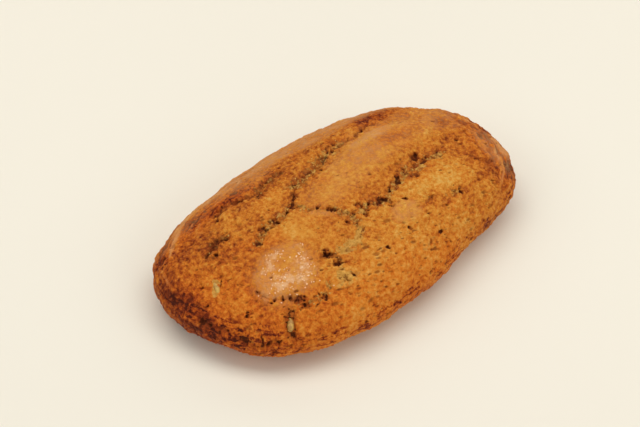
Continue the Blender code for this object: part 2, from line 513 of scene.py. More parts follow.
def distance_to_path(x, y, path):
    """Distance in plan from each point to a line through the path's points."""
    nearest = np.full(x.shape, np.inf)
    for (x0, y0), (x1, y1) in zip(path, path[1:]):
        run_x, run_y = x1 - x0, y1 - y0
        along = ((x - x0) * run_x + (y - y0) * run_y) / (run_x**2 + run_y**2)
        along = np.clip(along, 0, 1)
        nearest = np.minimum(nearest, np.hypot(x - x0 - along * run_x, y - y0 - along * run_y))
    return nearest


def crack_fields(x, y, points):
    """Furrow depth in millimetres, how torn the skin is and how pale the crumb in it is."""
    x, y = wandered(x, y, points, *CRACK_WANDERS)
    mean, swing, least = CRACK_SWELL
    swell = mean + swing * waves(points, CRACK_SWELL_SIZE, CRACK_SWELL_SEED)
    swell = np.clip(swell, least, None)
    depth, torn, pale = (np.zeros(x.shape) for _ in range(3))
    for furrow_depth, half_width, tearing, paleness, path in CRACKS:
        inside = np.exp(-((distance_to_path(x, y, path) / (half_width * swell)) ** 2))
        depth = np.maximum(depth, furrow_depth * inside)
        torn = np.maximum(torn, tearing * inside)
        pale = np.maximum(pale, paleness * inside)
    return depth, torn, pale


crack_depth, crack_torn, crack_pale = crack_fields(plan_x, plan_y, smooth_points)
print("torn skin:", round(float((crack_torn * on_crown > 0.4).mean() * 100), 1), "% of the points")

# %% [markdown]
# ## Single holes
#
# Besides the cracks the skin has a few large holes, where a bubble broke or a nut pulled the dough
# apart. Small pores come later, by rule. The large ones are listed one by one. Many smaller ones
# follow the cracks, where the torn crumb opened, so a seeded draw strews those along the crack
# lines.

# %% The large holes, in millimetres
# Centre, half length and half width, turn in degrees, depth and how dark its painted shade is.
HOLES = (
    ((-10.9, 6.4), (1.3, 0.5), 60, 0.6, 1.0),
    ((-13.2, 4.0), (1.1, 0.5), 0, 0.5, 1.0),
    ((-19.2, 2.9), (0.9, 0.4), 20, 0.5, 1.0),
    ((-21.4, 1.2), (0.8, 0.45), 0, 0.5, 1.0),
    ((-27.2, -0.4), (0.6, 0.4), 0, 0.5, 0.9),
    ((-5.6, -3.6), (1.2, 0.4), -38, 0.6, 1.0),
    ((-14.0, -13.5), (1.0, 0.3), -28, 0.6, 1.0),
    ((-12.7, -17.0), (1.3, 0.6), -20, 0.7, 1.0),
    ((-11.0, -21.5), (1.0, 0.4), -40, 0.5, 0.9),
    ((6.3, -7.8), (1.5, 0.9), 20, 0.5, 0.75),
    ((9.2, -9.2), (0.5, 0.4), 60, 0.5, 0.9),
    ((14.3, -5.3), (1.0, 0.45), 40, 0.6, 0.95),
    ((12.7, -10.4), (0.9, 0.3), -25, 0.4, 0.9),
    ((23.5, -0.5), (1.5, 0.7), 15, 0.6, 1.0),
    ((24.6, 0.5), (0.8, 0.5), 80, 0.5, 1.0),
    ((28.6, -2.8), (0.9, 0.5), 0, 0.5, 0.9),
    ((-17.9, 12.4), (1.2, 0.4), 15, 0.5, 0.9),
    ((-22.1, 14.1), (0.9, 0.35), 10, 0.5, 0.9),
    ((-31.5, 12.8), (0.8, 0.5), -30, 0.6, 1.0),
    ((-33.4, 5.8), (0.9, 0.4), -50, 0.5, 1.0),
    ((-35.2, 6.4), (1.2, 0.6), 10, 0.4, 0.8),
    ((-37.0, 5.7), (1.1, 0.55), 40, 0.4, 0.75),
    ((-38.8, 4.8), (0.8, 0.35), 30, 0.5, 1.0),
    ((16.2, -16.5), (0.7, 0.3), -20, 0.4, 0.9),
    ((8.9, -17.8), (0.55, 0.3), 0, 0.4, 1.0),
    ((17.0, -21.2), (0.9, 0.45), -10, 0.5, 0.9),
    ((1.0, -19.6), (1.0, 0.3), -15, 0.4, 0.9),
    ((-39.2, -14.4), (0.9, 0.4), 20, 0.4, 0.9),
    ((-23.0, -22.7), (0.9, 0.3), 30, 0.4, 0.8),
    ((-31.0, -22.1), (3.0, 1.6), 56, 0.7, 0.7),
    ((-31.8, -24.5), (0.8, 0.5), 0, 0.5, 1.0),
    ((-40.1, -3.5), (1.3, 0.25), 50, 0.3, 0.9),
    ((-38.8, -21.0), (1.1, 0.45), 50, 0.7, 1.0),
    ((-37.6, -22.2), (0.8, 0.4), -30, 0.6, 1.0),
    ((-42.3, -17.9), (2.5, 0.35), -54, 0.5, 1.0),
    ((-48.4, -7.4), (1.4, 0.6), -50, 0.5, 1.0),
    ((-45.4, -12.6), (1.3, 0.4), -60, 0.4, 1.0),
    ((-47.2, -3.8), (1.2, 0.4), -55, 0.3, 0.6),
    ((-47.6, -9.1), (1.2, 0.5), -40, 0.5, 1.0),
    ((-35.5, -23.2), (1.4, 0.3), -30, 0.4, 0.8),
    ((-47.5, 13.6), (1.2, 0.6), 30, 0.4, 0.8),
    ((-46.0, -5.5), (0.7, 0.35), -40, 0.4, 0.9),
    ((-26.5, 14.4), (0.8, 0.4), -20, 0.5, 0.9),
    ((-27.6, 15.6), (0.8, 0.45), 20, 0.5, 1.0),
    ((-29.4, 13.6), (1.0, 0.5), -30, 0.5, 1.0),
    ((-24.0, 14.9), (0.9, 0.4), 10, 0.5, 1.0),
    ((-3.0, 11.6), (0.9, 0.4), 40, 0.5, 0.9),
    ((5.6, 15.6), (0.9, 0.4), 60, 0.5, 0.9),
    ((9.4, 15.2), (0.8, 0.35), 0, 0.5, 0.9),
    ((-12.2, 12.8), (0.9, 0.3), -20, 0.4, 0.8),
    ((6.5, 16.5), (0.8, 0.35), 30, 0.5, 0.9),
    ((39.2, -7.9), (0.8, 0.4), -20, 0.5, 0.9),
    ((38.4, 0.2), (0.9, 0.3), 20, 0.4, 0.7),
    ((29.2, -6.7), (0.5, 0.3), 0, 0.4, 0.8),
    ((-38.2, -4.2), (0.9, 0.25), -10, 0.3, 0.7),
    ((-33.9, -3.3), (0.7, 0.25), -10, 0.3, 0.7),
    ((-34.2, -12.0), (0.8, 0.3), -65, 0.3, 0.8),
)
STREWN_A_MILLIMETRE = 0.8
STREWN_LENGTH = (0.35, 1.2)
STREWN_WIDTH = (0.25, 0.5)
STREWN_DEPTH = (0.4, 0.8)
# How dark the painted shade in each strewn hole is.
STREWN_DARKNESS = (0.6, 1.0)
STREWN_ASIDE = 0.6  # spread across a crack, as a share of its half width
STREWN_TURN = 40  # spread of the turn in degrees
HOLE_SEED = 11
HOLE_WANDER = (0.6, 1.2, (4.4, 8.8))
HOLE_EDGE_REACH = 1.4  # a hole fades out at this many times its radii


def strewn_holes():
    """Small holes along the crack lines, as many for each millimetre everywhere."""
    draw = np.random.default_rng(HOLE_SEED)
    made = []
    for _, half_width, tearing, _, path in CRACKS:
        for (x0, y0), (x1, y1) in zip(path, path[1:]):
            run = math.hypot(x1 - x0, y1 - y0)
            for _ in range(draw.poisson(run * STREWN_A_MILLIMETRE * tearing)):
                share, aside = draw.random(), draw.normal(0, STREWN_ASIDE) * half_width
                x = x0 + (x1 - x0) * share - (y1 - y0) / run * aside
                y = y0 + (y1 - y0) * share + (x1 - x0) / run * aside
                turn = math.degrees(math.atan2(y1 - y0, x1 - x0)) + draw.normal(0, STREWN_TURN)
                radii = (draw.uniform(*STREWN_LENGTH), draw.uniform(*STREWN_WIDTH))
                dark = draw.uniform(*STREWN_DARKNESS) * min(tearing + 0.2, 1)
                made.append(((x, y), radii, turn, draw.uniform(*STREWN_DEPTH), dark))
    return made


def hole_fields(x, y, points, holes):
    """Depth in millimetres and darkness of the painted shade in the large holes, with ragged edges."""
    x, y = wandered(x, y, points, HOLE_WANDER)
    depth, dark = np.zeros(x.shape), np.zeros(x.shape)
    for hole_centre, radii, turn, hole_depth, darkness in holes:
        inside = np.clip(HOLE_EDGE_REACH - patch_reach(x, y, hole_centre, radii, turn), 0, 1)
        depth = np.maximum(depth, hole_depth * inside)
        dark = np.maximum(dark, darkness * inside)
    return depth, dark


small_holes = strewn_holes()
hole_depth, hole_dark = hole_fields(plan_x, plan_y, smooth_points, [*HOLES, *small_holes])
print("holes placed:", len(HOLES), "and strewn:", len(small_holes))

# %% [markdown]
# ## Browning
#
# Heat reaches what sticks out, so the ends and the rim are darker than the crown, and one end
# caught. Beside them lie paler patches, where the dough was wet; a pale stripe on the long ridge is
# a painted highlight. A soft spot with a sign, brown above zero and pale below, says that in a few
# numbers. Spots of other kinds say where a sheen is painted on the skin, where it lies smooth, is
# pored, reddish or wrinkled, and where sugar stuck. One end and the rim scorched in streaks, along a
# few lines and in a band round one long side.

# %% Spots of brown and pale crust, in millimetres
# Each table of spots holds a centre, radii, turn in degrees and strength.
BROWNING = (
    ((-50.2, 0.0), (4.0, 7.5), 10, 0.25),
    ((-47.6, -7.5), (1.8, 3.0), 30, 0.12),
    ((-50, -3), (5, 13), 12, 0.10),
    ((-45.5, -14), (2.2, 8), 30, 0.10),
    ((-47.5, 13.8), (1.6, 1.2), 0, 0.25),
    ((-36, 6.0), (4.8, 2.2), 0, 0.14),
    ((-24, 16.8), (9, 1.6), 0, 0.18),
    ((-38, 19), (4, 2), 10, 0.10),
    ((-13.5, -20), (3, 2), 0, -0.14),
    ((14, 3), (10, 3.5), 0, -0.04),
    ((-42, 10), (8, 5), 10, 0.22),
    ((-36, 18), (10, 3.2), 8, 0.06),
    ((-38, -2), (7, 6), 0, 0.03),
    ((-34, -20), (6, 4), 0, 0.09),
    ((24, 20), (7, 3), 0, 0.27),
    ((0, 23), (45, 5), 0, 0.06),
    ((24, 7), (12, 7), 14, 0.04),
    ((24, 8.4), (7, 1.6), 8, 0.10),
    # A paler stripe on the ridge: a painted highlight.
    ((18, 12.5), (6, 1.8), 8, -0.10),
    ((45, -8), (7, 8), 0, 0.17),
    ((50, -3), (3, 9), 0, 0.08),
    ((43, 8), (7, 5), 0, 0.04),
    ((39, 9), (1.6, 2.2), 0, 0.25),
    ((6, -8), (4.5, 2.2), 10, 0.16),
    ((-8, 11), (2.5, 1.4), 10, 0.25),
    ((-10, -17), (3, 1.6), 0, 0.18),
    ((-33, 1), (4, 4), 0, 0.10),
    ((-13, -6), (8, 7), 0, -0.06),
    ((-3, -20), (36, 7), 0, -0.16),
    ((-3, -28), (40, 4.5), 4, -0.13),
    ((20, -9), (14, 5), 0, -0.08),
    ((4, 3), (16, 6), 14, -0.07),
    ((33, 6), (3.5, 2.2), 20, -0.14),
    ((25, -9), (12, 3.5), 4, -0.10),
    ((-18, -3), (2.2, 2.4), 0, -0.30),
    ((-38, -6), (6, 7), 0, -0.03),
)
BLISTER = ((-26, -11.7), (8.7, 7.4), 10)
# Painted sheen: pale colour standing in for light off the blister, the ridge, the far rim, one end.
PAINTED_SHEEN = (
    (*BLISTER, 0.85),
    ((18, 12.2), (8.5, 2.0), 10, 0.7),
    ((-8.2, -3.4), (3.6, 1.1), -36, 0.5),
    ((11, -13.5), (4.5, 3), 0, 0.5),
    ((47.5, -5), (4.5, 9), 0, 0.55),
    ((0, 25), (48, 4.5), 0, 0.8),
    ((-18, 20), (8, 4), 0, 0.35),
    ((41, 9), (7, 5), 0, 0.25),
    ((4, 4), (17, 6), 12, 0.25),
    ((24, 20.5), (8, 3), 0, -0.3),
    ((-34, 19.5), (16, 2.8), 10, 0.3),
    ((26, 12), (24, 8), 10, 0.25),
)
SMOOTH = (
    ((-26, -11), (9.5, 8), 10, 1.0),
    ((-13, -6), (9, 8), 0, 0.7),
    ((13, 6), (27, 8), 14, 0.6),
    ((10, -13.5), (6, 4), 0, 0.5),
)
PORED = (
    ((5, -23), (48, 9), 0, 1.2),
    ((-40, 0), (10, 22), 0, 0.5),
    ((42, -8), (12, 10), 0, 0.5),
    ((-24, 10), (14, 5), 8, 0.2),
)
RUDDY_PLACES = (
    ((0, -29), (50, 5), 0, 1.2),
    ((0, -24), (46, 7), 2, 0.5),
    ((-47, -6), (8, 18), 10, 0.9),
    ((-38, -14), (12, 14), 0, 0.8),
    ((-37, 16), (16, 4), 10, 0.9),
    ((24, 20), (8, 3), 0, 0.6),
    ((47, -4), (8, 16), 0, 0.8),
    ((24, 8.5), (8, 2.2), 8, 0.5),
    ((-24, 16.5), (9, 1.6), 0, 0.8),
    ((-26, -1), (7, 2), -20, 0.7),
    ((-24, -21), (12, 3), 5, 0.4),
)
SUGAR = (
    ((-28.8, -8.6), (3.2, 2.0), 30, 1.0),
    ((-25.2, -6.6), (2.2, 1.2), -20, 0.8),
    ((-18.9, -8.3), (1.5, 1.4), 0, 0.7),
    ((-20.8, -12.6), (2.8, 2.8), -30, 1.0),
    ((-28.0, -13.4), (3.0, 2.6), 20, 0.9),
    ((-24.0, -15.4), (4.2, 1.5), -20, 0.9),
)
GOLDEN = (((-25.4, -10.6), (5.0, 4.0), 10, 1.0),)
WRINKLED = (
    ((-38, 20), (20, 9), 12, 1.2),
    ((-50, -2), (7, 24), 12, 0.35),
    ((50, -4), (8, 18), 0, 1.5),
    ((10, 28), (40, 6), 0, 0.5),
)
# A thin brown ring round the blister: where it lies, how wide it is and how brown.
BLISTER_RING = (1.08, 0.13, 0.06)
# Half width, strength, path.
SCORCH_LINES = (
    (2.6, 0.5, ((-50.5, 3), (-48.5, -5), (-45.5, -12), (-41, -18), (-36, -22.5))),
    (2.2, 0.45, ((-48.5, 12), (-42, 16.5), (-34, 18.5), (-24, 17.2), (-16, 16.5))),
    (0.9, 0.6, ((-51.0, 4), (-50.2, 0), (-49.0, -4), (-47.8, -7))),
    (0.7, 0.8, ((-49.2, -6.5), (-47.6, -9.2), (-45.5, -12.5))),
    (0.7, 1.0, ((-44.7, -15.2), (-42.2, -18.8))),
    (0.8, 1.0, ((-40.2, -19.8), (-38.4, -21.5))),
    (0.7, 0.4, ((-38, 20.4), (-30, 19.8), (-21, 18.6), (-12, 18.2), (-6, 17.0))),
    (0.6, 0.4, ((2, 18.4), (9, 18.8), (16, 19.4), (22, 20.2))),
)
SCORCH_WANDER = (1.2, 3.0, (6.1, 2.3))
# The scorched band lies at one height and comes in over the near half of the width.
BAND_HEIGHT = 9.0
BAND_WIDTH = 3.0
BAND_FADE = 15.0
BAND_BROWN = 0.12
BAND_GAPS = (0.6, 0.8, 4.0)  # mean, swing and size of the noise that breaks it up
BAND_SEED = 3.7
LEAST_PORED = 0.35
MOST_PORED = 1.8
# Height at which the painted sheen and the wrinkles start, and over how much more they fade in.
PAINTED_SHEEN_FROM = (6.0, 6.0)
WRINKLED_FROM = (5.0, 4.0)
WRINKLED_OUTSIDE = (0.6, 0.25)  # the same for wrinkles, as shares of the outline


def risen(values, start, span):
    """0 up to the start, and 1 from a span past it."""
    return np.clip((values - start) / span, 0, 1)


def spots(x, y, table, edge=2):
    """Soft spots added together. A higher edge gives them flatter middles and crisper rims."""
    total = np.zeros(x.shape)
    for spot_centre, radii, turn, strength in table:
        reach = patch_reach(x, y, spot_centre, radii, turn)
        total = total + strength * np.exp(-(reach**edge))
    return total


def scorch_field(x, y, points):
    """How scorched the skin is along the scorch lines, with ragged edges."""
    x, y = wandered(x, y, points, SCORCH_WANDER)
    total = np.zeros(x.shape)
    for width, strength, path in SCORCH_LINES:
        gap = distance_to_path(x, y, path) / width
        total = np.maximum(total, strength * np.exp(-(gap**2)))
    return total


def band_field(points):
    """1 in the scorched band on one long side, with gaps left by noise."""
    mean, swing, size = BAND_GAPS
    band = np.exp(-(((points[:, 2] - BAND_HEIGHT) / BAND_WIDTH) ** 2))
    broken = np.clip(mean + swing * waves(points, size, BAND_SEED), 0, 1)
    return band * risen(-points[:, 1], 0, BAND_FADE) * broken


def spread(table, most=1.0, edge=2):
    """A table's spots over the crust, held between 0 and the most they may reach."""
    return np.clip(spots(plan_x, plan_y, table, edge), 0, most)


band = band_field(smooth_points)
ring, ring_width, ring_brown = BLISTER_RING
ring_gap = (patch_reach(plan_x, plan_y, *BLISTER) - ring) / ring_width
browning = spots(plan_x, plan_y, BROWNING) + ring_brown * np.exp(-(ring_gap**2)) + BAND_BROWN * band
scorch = np.maximum(scorch_field(plan_x, plan_y, smooth_points) * on_crown, band)
# How much pale sheen is painted at each point; none low on the sides.
glaze = spread(PAINTED_SHEEN, edge=7) * risen(height, *PAINTED_SHEEN_FROM)
pored = np.clip(LEAST_PORED + spots(plan_x, plan_y, PORED), 0, MOST_PORED)
wrinkled = spread(WRINKLED, most=2.0)
wrinkled *= risen(rim_share, *WRINKLED_OUTSIDE) * risen(height, *WRINKLED_FROM)
print("browning from", browning.min().round(2), "to", browning.max().round(2))

# %% [markdown]
# ## Put the relief on the form
#
# The bumps and cracks move each point along its normal, and nothing on the flat base moves, so the
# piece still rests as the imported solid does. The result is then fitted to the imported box.

# %% Relief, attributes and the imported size
RELIEF_FROM = (0.5, 3.5)  # height in millimetres where relief starts, and its fade above that
# Crumbs lie where the floor of a crack is pale or torn enough, and keep off the dark holes.
CRUMBS_PER_TEAR = 0.35
CRUMBS_FROM = 0.25
DARKEST_CRUMBED = 0.3


def add_attribute(mesh, name, values):
    """Keeps one number, or one vector, on each point."""
    vector = values.ndim == 2
    attribute = mesh.attributes.new(name, "FLOAT_VECTOR" if vector else "FLOAT", "POINT")
    attribute.data.foreach_set("vector" if vector else "value", values.astype(np.float32).ravel())


free = risen(height, *RELIEF_FROM)
bulges = (plate_rise(plan_x, plan_y) + fold_rise(plan_x, plan_y)) * on_crown + lumps
sunk = (crack_depth + hole_depth) * on_crown
form = smooth_points + smooth_normals * (bulges * free)[:, None]
form_low, form_high = form.min(axis=0), form.max(axis=0)
fit = np.array(cad_high - cad_low) / MM / (form_high - form_low)
relief = form - smooth_normals * (sunk * free)[:, None] - base_middle(form_low, form_high)
set_points(crust_mesh, relief * fit * MM + base_middle(cad_low, cad_high))
crumbly = np.clip(crack_pale + CRUMBS_PER_TEAR * crack_torn - CRUMBS_FROM, 0, 1) * on_crown
flat_place = unrolled_place[:, :2]
way_down = np.hypot(*flat_place.T)
bearing = flat_place / np.maximum(way_down, HAIR)[:, None]
for name, values in {
    "place": smooth_points * MM,
    "rim": np.column_stack([bearing, way_down]),
    "torn": crack_torn * on_crown,
    "pale": crack_pale * on_crown,
    "hole": hole_dark * on_crown,
    "browning": browning,
    "smooth": spread(SMOOTH) * on_crown,
    "sugar": spread(SUGAR) * on_crown,
    # The share of painted sheen.
    "glaze": glaze,
    "golden": spread(GOLDEN, edge=3) * on_crown,
    "ruddy": spread(RUDDY_PLACES),
    "crumbly": crumbly * (hole_dark < DARKEST_CRUMBED),
    "pored": pored,
    "scorch": scorch,
    "under": unrolled_place[:, 2],
    "wrinkled": wrinkled,
    "unrolled": unrolled_place,
}.items():
    add_attribute(crust_mesh, name, values)
print("fitted to the packed box by", fit.round(4))

# %% [markdown]
# ## Grain, pits and pores
#
# The last relief repeats all over the crust, so it is a rule as well. Pits lie where the skin is
# torn and rough noise is high, and thin seams link them along the lines where a second noise
# crosses zero. Pores come from Voronoi cells: a cell holds one only if its random number is low,
# and more of them do on the sides than on the plates. A noise drawn out one way adds short dashes
# to both. Wrinkles are noise stretched from the middle of the crown towards the rim.
#
# The relief and the colours both need these fields, and the painted shade of a pit has to lie
# exactly where it is deep. So each field is a function that adds its nodes to whatever tree it is
# given, and reads the same point of the smooth form in both.

# %% Fields for relief and colour
FINE_GRAIN_SIZE = 1.2 * MM
COARSE_GRAIN_SIZE = 5.0 * MM
GRIT_SIZE = 0.9 * MM
FRAY_SIZE = 0.7 * MM
DASH_SIZE = 1.4 * MM
DASH_STRETCH = (0.55, 1.25, 1.25)
DASH_TURN = 17.0
SEAM_SIZE = 2.4 * MM
# Spacing, stretch of the cells, share of cells with a pore, narrowest and widest radius.
PORE_LAYERS = (
    (2.5 * MM, (0.6, 1.3, 1.2), 0.50, 0.16, 0.34),
    (1.5 * MM, (0.6, 1.3, 1.2), 0.45, 0.18, 0.36),
)
# How closely waves follow each other round the piece, given twice, and from its middle down.
WRINKLE_SHAPE = (3.2, 3.2, 30.0)
STREAK_SHAPE = (6.0, 6.0, 50.0)


def grit(graph, place):
    """Rough noise of torn crumb."""
    return graph.noise(place, GRIT_SIZE, 2.0, 0.6)


def dash_field(graph, place):
    """Noise drawn out along the way the skin was stretched."""
    bent = graph.stretch(graph.turned(place, DASH_TURN), DASH_STRETCH)
    return graph.noise(bent, DASH_SIZE, 1.0, 0.5)


def pit_field(graph, place, rough):
    """1 in the pits and seams of the cracks, in the char and in the large holes."""
    torn = graph.most(graph.stored("torn"), graph.stored("scorch") * 0.45)
    pits = graph.ease(torn * 0.55 + rough * 1.4 + dash_field(graph, place) * 1.4, 0.62, 0.82)
    line = graph.maths("ABSOLUTE", graph.noise(place, SEAM_SIZE, 1.0, 0.5))
    seams = graph.ease(torn + rough, 0.6, 0.9) * (1 - graph.ease(line, 0.01, 0.05))
    frayed = graph.noise(place, FRAY_SIZE, 2.0, 0.6) * 3.0
    holes = graph.ease(graph.stored("hole") + frayed, 0.55, 0.9)
    return graph.most(pits, seams * 0.6, holes)


def pore_field(graph, place):
    """1 in the middle of a pore and 0 outside, for all layers together."""
    chance = graph.stored("pored") * (1 - graph.stored("smooth"))
    layers = [graph.ease(dash_field(graph, place) + chance * 0.05, 0.20, 0.32)]
    for spacing, stretch, share, narrowest, widest in PORE_LAYERS:
        bent = graph.stretch(graph.turned(place, DASH_TURN), stretch)
        away = graph.cells(bent, spacing)
        draws = {0: graph.cells(bent, spacing, "Color")}
        lot, size, tone = (graph.node("ShaderNodeSeparateXYZ", None, draws, out=i) for i in range(3))
        radius = size * (widest - narrowest) + narrowest
        inside = 1 - graph.ease(away / radius, 0.5, 1.1)
        layers.append(inside * (lot < chance * share) * (tone * 0.7 + 0.3))
    return graph.most(*layers)


def rim_noise(graph, shape):
    """Noise whose waves run round the rim."""
    return graph.noise(graph.stretch(graph.stored("rim", vector=True), shape), 1.0, 2.0, 0.6)


def wrinkle_field(graph):
    """Folds of loose skin, above and below zero."""
    return rim_noise(graph, WRINKLE_SHAPE) * graph.stored("wrinkled")


def grain_field(graph, place):
    """Fine and coarse grain together, from about -0.5 to 0.5."""
    fine = graph.noise(place, FINE_GRAIN_SIZE, 3.0, 0.6)
    coarse = graph.noise(place, COARSE_GRAIN_SIZE, 3.0, 0.5)
    return fine * 0.45 + coarse * 0.8


print("pore layers:", len(PORE_LAYERS))

# %% [markdown]
# ## Crust material
#
# One level runs from wet dough to scorched skin, and a colour ramp turns it into a colour. Noise
# at several sizes keeps it from lying flat: broad clouds of heat, blotches the size of a lentil,
# fine speckle, and marks drawn out along the piece. The level also carries painted shade in the
# hollows of the grain and the valleys of the wrinkles, and painted light on their tops. The fields
# and the stored values then lay scorch, a painted pale sheen, torn crumb, a film of sugar, pale
# painted highlights on the wrinkle crests, and pores, holes and pits darkened with painted shade
# over it; real char darkens some of the pits too. Roughness drops a little on the smooth plates.

# %% Crust colours
CRUST_STOPS = (
    (0.00, screen(224, 178, 94)),
    (0.28, screen(215, 146, 54)),
    (0.48, screen(200, 116, 32)),
    (0.66, screen(166, 82, 23)),
    (0.84, screen(116, 46, 14)),
    (1.00, screen(72, 26, 8)),
)
CRUMB = screen(220, 170, 84)
CRUMB_GREY = screen(182, 132, 56)
CRUMB_DARK = screen(136, 78, 30)
# Painted shade in the pits (also the colour of char where the skin scorched), holes and pores.
PIT_SHADE_AND_CHAR = screen(84, 38, 15)
HOLE_SHADE = screen(140, 62, 22)
PORE_SHADE = screen(110, 44, 11)
SUGAR_FILM = screen(244, 202, 158)
# The colour of the painted sheen.
PAINTED_SHEEN_COLOUR = screen(215, 157, 98)
# A pale painted highlight on the wrinkle crests.
CREST_HIGHLIGHT = screen(214, 150, 98)
RUDDY = (1.04, 0.78, 0.55, 1.0)
FLECK = screen(226, 164, 74)
MID_LEVEL = 0.47
SPECULAR = 0.14
CLOUD_SIZE = 11 * MM
BLOTCH_SIZE = 3.0 * MM
SPECKLE_SIZE = 1.1 * MM
DRAWN_SIZE = 4.5 * MM
DRAWN_TURN = -10
DRAWN_STRETCH = (0.3, 1.0, 1.0)
RUDDY_SIZE = 6.5 * MM
FLECK_SIZE = 0.9 * MM
CRUMB_TONE_SIZE = 1.5 * MM
SPARKLE_SIZE = 1.5 * MM
BUMP_SIZE = 0.8 * MM
BUMP_HEIGHT = 0.7 * MM
# How much of its own colour each layer lays over what is below it.
FILM_SHARE = 0.58
# Shares of the painted shade in pores, holes and pits.
PORE_SHADE_SHARE = 0.72
HOLE_SHADE_SHARE = 0.6
PIT_SHADE_AND_CHAR_SHARE = 0.88
CREST_HIGHLIGHT_SHARE = 0.55
TORN_SHARE = 0.5
CRUMB_SHARE = 0.8


def skin_colour(graph, place, at, grain, wrinkle):
    """The browned skin with its scorch, reddish places and flecks, with painted shade and light on the grain
    and wrinkles and a pale painted highlight on the wrinkle crests.
    """
    clouds = graph.noise(place, CLOUD_SIZE, 2.0, 0.5)
    blotches = graph.noise(place, BLOTCH_SIZE, 3.0, 0.6)
    speckle = graph.noise(place, SPECKLE_SIZE, 3.0, 0.7)
    bent = graph.stretch(graph.turned(place, DRAWN_TURN), DRAWN_STRETCH)
    drawn = graph.noise(bent, DRAWN_SIZE, 3.0, 0.6)
    # Minus the grain: painted shade in its hollows and painted light on its bumps.
    mottle = clouds * 0.30 + blotches * 0.22 + speckle * 1.3 + drawn * 0.4 - grain * 0.4
    level = at["browning"] + MID_LEVEL + mottle * (1 - at["smooth"] * 0.25)
    # Wrinkle valleys get painted shade and crests painted light; the base and torn skin are browner.
    level = level + at["under"] * 0.16 - wrinkle * 1.5 + at["torn"] * 0.16
    streaks = rim_noise(graph, STREAK_SHAPE) * 3.0 + speckle * 1.5
    burnt = graph.ease(at["scorch"] * 0.6 + streaks, 0.35, 0.75) * graph.ease(at["scorch"], 0.0, 0.5)
    level = level + at["scorch"] * 0.04 + burnt * 0.30
    colour = graph.node("ShaderNodeValToRGB", {"stops": CRUST_STOPS}, {0: level})
    ruddy = graph.ease(graph.noise(place, RUDDY_SIZE, 3.0, 0.6), -0.02, 0.25) * 0.4
    colour = graph.blend(graph.most(ruddy, at["ruddy"] * 0.9), colour, RUDDY, "MULTIPLY")
    unburnt = 1 - graph.ease(level, 0.6, 0.9)
    flecks = graph.ease(graph.noise(place, FLECK_SIZE, 2.0, 0.5), 0.0, 0.25)
    colour = graph.blend(flecks * unburnt * (0.30 - at["ruddy"] * 0.24), colour, FLECK)
    # A pale painted highlight on the crests of the wrinkles.
    crest_highlights = graph.ease(wrinkle, 0.03, 0.2) * unburnt
    colour = graph.blend(crest_highlights * CREST_HIGHLIGHT_SHARE, colour, CREST_HIGHLIGHT)
    return colour, blotches, speckle


def crumb_colour(graph, place, at, colour, blotches, speckle):
    """Torn skin: a brown halo, with ragged patches of paler crumb on the crack floors."""
    torn = graph.ease(at["torn"] + speckle * 1.8 + blotches * 0.8, 0.4, 0.95)
    colour = graph.blend(torn * TORN_SHARE, colour, CRUMB_DARK)
    tone = graph.noise(place, CRUMB_TONE_SIZE, 2.0, 0.6)
    ragged = at["pale"] * 0.6 + tone * 1.7 + speckle * 0.8
    pale = graph.ease(ragged, 0.16, 0.46) * graph.ease(at["pale"], 0.1, 0.4)
    shade = graph.blend(graph.ease(speckle + blotches * 0.6, -0.1, 0.12), CRUMB_GREY, CRUMB)
    return graph.blend(pale * CRUMB_SHARE, colour, shade), torn


def new_material(name, constants):
    """A node material with constant values at its shader's own sockets; its graph and shader."""
    material = bpy.data.materials.new(name)
    material.use_nodes = True
    shader = material.node_tree.nodes["Principled BSDF"]
    for socket, value in constants.items():
        shader.inputs[socket].default_value = value
    return material, Graph(material.node_tree), shader


def crust_material():
    material, graph, shader = new_material("crust", {"Specular IOR Level": SPECULAR})
    place = graph.stored("place", vector=True)
    names = "torn pale hole scorch smooth under browning sugar glaze golden ruddy".split()
    at = {name: graph.stored(name) for name in names}
    rough = grit(graph, place)
    pits = pit_field(graph, place, rough)
    grain = grain_field(graph, place)
    colour, blotches, speckle = skin_colour(graph, place, at, grain, wrinkle_field(graph))
    # Painted sheen, broken into patches and kept off the blister's golden middle.
    patchy = (0.48 + blotches * 1.6 + speckle * 3.0) * (1 - at["golden"] * 0.8)
    colour = graph.blend(at["glaze"] * patchy, colour, PAINTED_SHEEN_COLOUR)
    colour, torn = crumb_colour(graph, place, at, colour, blotches, speckle)
    sparkle = graph.noise(place, SPARKLE_SIZE, 3.0, 0.7)
    film = graph.ease(at["sugar"] * 0.6 + sparkle * 2.4, 0.2, 0.85) * at["sugar"]
    colour = graph.blend(film * FILM_SHARE, colour, SUGAR_FILM)
    # Pores, holes and pits get painted shade; where the skin scorched, the pits are char as well.
    colour = graph.blend(pore_field(graph, place) * PORE_SHADE_SHARE, colour, PORE_SHADE)
    colour = graph.blend(graph.ease(at["hole"], 0.05, 0.6) * HOLE_SHADE_SHARE, colour, HOLE_SHADE)
    colour = graph.blend(pits * PIT_SHADE_AND_CHAR_SHARE, colour, PIT_SHADE_AND_CHAR)
    graph.plug(colour, shader.inputs["Base Color"])
    dull = 0.66 - at["smooth"] * 0.08 + speckle * 0.4 + torn * 0.2
    graph.plug(graph.maths("ADD", dull, 0.0, clamp=True), shader.inputs["Roughness"])
    tooth = graph.noise(place, BUMP_SIZE, 3.0, 0.7)
    values = {"Height": tooth, "Distance": BUMP_HEIGHT, "Strength": 1.0}
    graph.plug(graph.node("ShaderNodeBump", None, values), shader.inputs["Normal"])
    return material


crust_look = crust_material()
print("crust material:", len(crust_look.node_tree.nodes), "nodes")

# %% [markdown]
# ## The relief of the grain
#
# A second Geometry Nodes tree moves every point along its normal by the sum of the fields, each
# with a depth of its own as a named input. The grain is weaker on the smooth places and where a
# sheen is painted.

